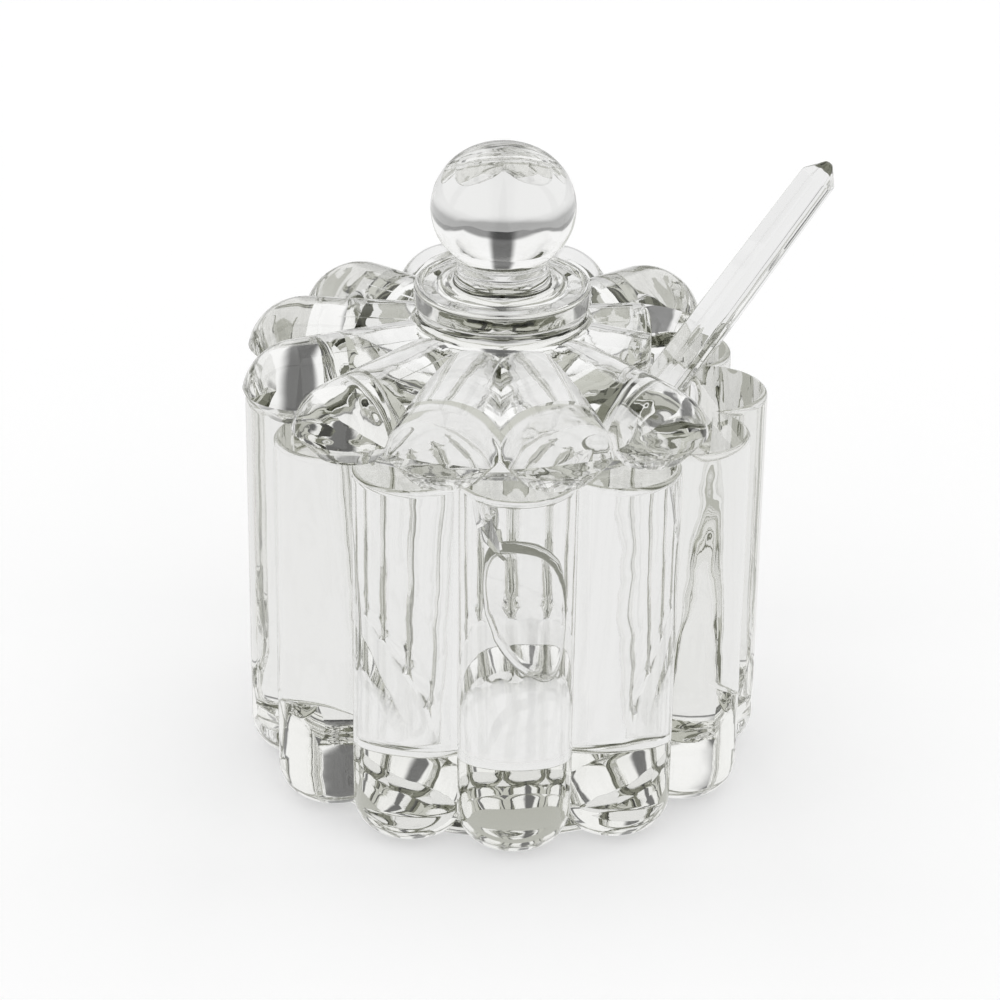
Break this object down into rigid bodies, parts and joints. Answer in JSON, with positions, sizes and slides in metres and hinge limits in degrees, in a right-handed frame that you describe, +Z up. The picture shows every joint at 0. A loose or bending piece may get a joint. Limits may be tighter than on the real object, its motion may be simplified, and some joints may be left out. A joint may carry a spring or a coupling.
{
  "type": "jam pot",
  "caption": "Clear glass jam pot with round flutes, a domed fluted lid with a ball knob and a spoon notch, and a glass spoon.",
  "frame": {"origin": "centre of the jar's flat foot, on the surface that it stands on", "axes": "+Z up along the jar's axis; -Y towards the front, where a lid valley is; the lid's notch opens towards +X and the spoon leans that way"},
  "size_m": [0.0956, 0.0854, 0.1074],
  "materials": {
    "jar": "clear polished pressed glass",
    "lid": "clear polished pressed glass",
    "spoon": "clear polished pressed glass"
  },
  "bodies": {
    "jar": {"jar": "jar"},
    "lid": {"lid": "lid"},
    "spoon": {"spoon": "spoon"}
  },
  "joints": [
    {"name": "lid_lift", "type": "slide", "parent": "jar", "child": "lid", "axis": [0, 0, 1], "range_m": [0, 0.045]},
    {"name": "spoon_slide", "type": "slide", "parent": "jar", "child": "spoon", "axis": [0.5556, 0.098, 0.8257], "range_m": [0, 0.024]}
  ]
}
